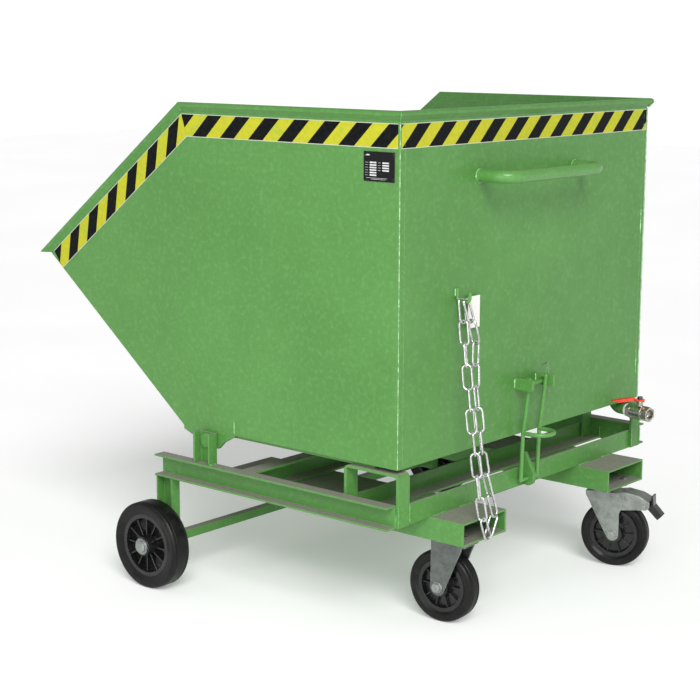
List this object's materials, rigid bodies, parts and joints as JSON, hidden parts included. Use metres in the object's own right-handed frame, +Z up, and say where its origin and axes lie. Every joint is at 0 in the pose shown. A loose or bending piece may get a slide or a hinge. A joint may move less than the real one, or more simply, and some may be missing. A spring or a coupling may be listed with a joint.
{
  "type": "tipping chip skip on a wheeled chassis",
  "caption": "Wheeled sheet-steel tipping skip with a sloped pouring front, channel chassis, fork pockets, castors, foot latch, drain valve and safety chain.",
  "frame": {"origin": "on the floor, under the middle of the overall box", "axes": "+X towards the push handle (rear), -Y the side with the rating plate, +Z up"},
  "size_m": [1.276, 1.168, 1.1],
  "materials": {
    "green_paint": "semi-gloss sprayed paint, worn along the edges",
    "galvanised_steel": "mottled zinc plating",
    "chain_steel": "bright zinc plating",
    "warning_film": "printed film, yellow and black slanting stripes",
    "plate_black": "satin printed aluminium, blank fields",
    "white_plastic": "matt",
    "paper": "plain card",
    "nickel_brass": "nickel plated brass, satin",
    "chrome": "polished",
    "red_coat": "dip coated steel",
    "dark_steel": "blackened",
    "rubber": "matt rubber",
    "black_plastic": "moulded, satin"
  },
  "bodies": {
    "chassis": {"rail_left": "green_paint", "rail_right": "green_paint", "cross_front": "green_paint", "cross_rear": "green_paint", "rear_plate": "green_paint", "fork_pocket_left": "green_paint", "fork_pocket_right": "green_paint", "pivot_posts": "green_paint", "rest_brackets": "green_paint", "wheel_legs": "green_paint", "axle_bar": "green_paint", "axle_caps": "galvanised_steel", "latch_lug": "green_paint", "castor_plates": "galvanised_steel", "castor_bolts": "galvanised_steel"},
    "tank": {"tank_side_left": "green_paint", "tank_side_right": "green_paint", "tank_shell": "green_paint", "tank_rim": "green_paint", "lip_bar": "green_paint", "floor_skids": "green_paint", "pivot_lugs": "green_paint", "pivot_pins": "galvanised_steel", "hazard_tape": "warning_film", "rating_plate": "plate_black", "plate_rivets": "galvanised_steel", "push_handle": "green_paint", "chain_hook": "green_paint", "catch_plates": "green_paint", "catch_bar": "green_paint", "drain_strainer": "galvanised_steel", "drain_elbow": "green_paint", "pipe_seal": "white_plastic", "valve_body": "nickel_brass", "latch_clip": "galvanised_steel"},
    "valve_handle": {"valve_ball": "chrome", "valve_stem": "nickel_brass", "valve_lever": "red_coat", "lever_nut": "dark_steel"},
    "latch": {"latch_bail": "green_paint"},
    "chain": {"safety_chain": "chain_steel", "chain_tag": "paper"},
    "front_wheel_left": {"front_tyre_left": "rubber", "front_rim_left": "black_plastic"},
    "front_wheel_right": {"front_tyre_right": "rubber", "front_rim_right": "black_plastic"},
    "castor_left": {"castor_fork_left": "galvanised_steel", "castor_axle_left": "galvanised_steel"},
    "castor_wheel_left": {"castor_rim_left": "black_plastic", "castor_tyre_left": "rubber"},
    "castor_right": {"castor_fork_right": "galvanised_steel", "castor_axle_right": "galvanised_steel", "brake_pin": "galvanised_steel"},
    "castor_wheel_right": {"castor_rim_right": "black_plastic", "castor_tyre_right": "rubber"},
    "brake": {"brake_pedal": "black_plastic"}
  },
  "joints": [
    {"name": "tank_tip", "type": "hinge", "parent": "chassis", "child": "tank", "pos_m": [-0.0717, 0, 0.352], "axis": [0, -1, 0], "range_deg": [0, 60]},
    {"name": "latch_open", "type": "hinge", "parent": "chassis", "child": "latch", "pos_m": [0.4813, -0.016, 0.268], "axis": [0, 1, 0], "range_deg": [0, 75]},
    {"name": "valve_turn", "type": "hinge", "parent": "tank", "child": "valve_handle", "pos_m": [0.51104, 0.40959, 0.35], "axis": [0, 0, 1], "range_deg": [0, 90]},
    {"name": "chain_swing", "type": "hinge", "parent": "tank", "child": "chain", "pos_m": [0.4871, -0.281, 0.701], "axis": [1, 0, 0], "range_deg": [-20, 20]},
    {"name": "front_left_roll", "type": "hinge", "parent": "chassis", "child": "front_wheel_left", "pos_m": [-0.1937, -0.542, 0.1], "axis": [0, 1, 0], "continuous": true},
    {"name": "front_right_roll", "type": "hinge", "parent": "chassis", "child": "front_wheel_right", "pos_m": [-0.1937, 0.542, 0.1], "axis": [0, 1, 0], "continuous": true},
    {"name": "castor_left_swivel", "type": "hinge", "parent": "chassis", "child": "castor_left", "pos_m": [0.4883, -0.283, 0.185], "axis": [0, 0, 1], "continuous": true},
    {"name": "castor_left_roll", "type": "hinge", "parent": "castor_left", "child": "castor_wheel_left", "pos_m": [0.45139, -0.28558, 0.08], "axis": [0.0698, -0.9976, 0], "continuous": true},
    {"name": "castor_right_swivel", "type": "hinge", "parent": "chassis", "child": "castor_right", "pos_m": [0.4883, 0.283, 0.185], "axis": [0, 0, 1], "continuous": true},
    {"name": "castor_right_roll", "type": "hinge", "parent": "castor_right", "child": "castor_wheel_right", "pos_m": [0.52387, 0.2932, 0.08], "axis": [-0.2756, 0.9613, 0], "continuous": true},
    {"name": "brake_press", "type": "hinge", "parent": "castor_right", "child": "brake", "pos_m": [0.59404, 0.31332, 0.156], "axis": [-0.2756, 0.9613, 0], "range_deg": [0, 10]}
  ],
  "couplings": [
    {"joint": "latch_open", "follows": "tank_tip", "ratio": 1.25}
  ]
}
